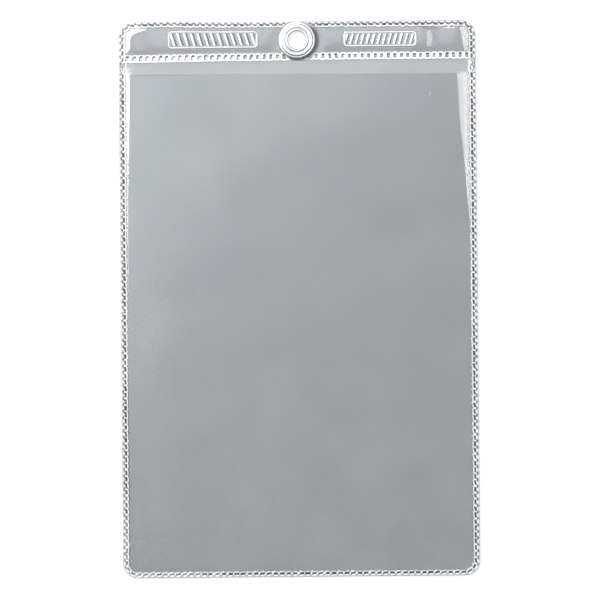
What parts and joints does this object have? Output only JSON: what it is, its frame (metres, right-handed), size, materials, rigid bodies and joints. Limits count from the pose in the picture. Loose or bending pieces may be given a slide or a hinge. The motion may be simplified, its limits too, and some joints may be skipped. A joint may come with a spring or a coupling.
{
  "type": "vinyl tag envelope",
  "caption": "Clear vinyl envelope for a card or tag, open at a mouth below a welded header strip, with a metal grommet to hang it by.",
  "frame": {"origin": "on the surface that the envelope lies on, under the middle of its outline", "axes": "+X to the right, +Y towards the grommet and +Z out of the front, with the envelope lying on its back"},
  "size_m": [0.1142, 0.1778, 0.0025],
  "materials": {
    "clear_vinyl": "gloss",
    "bright_nickel": "gloss"
  },
  "bodies": {
    "root": {"back_sheet": "clear_vinyl", "front_sheet": "clear_vinyl", "header_strip": "clear_vinyl", "grommet": "bright_nickel", "washer": "bright_nickel"}
  },
  "joints": []
}
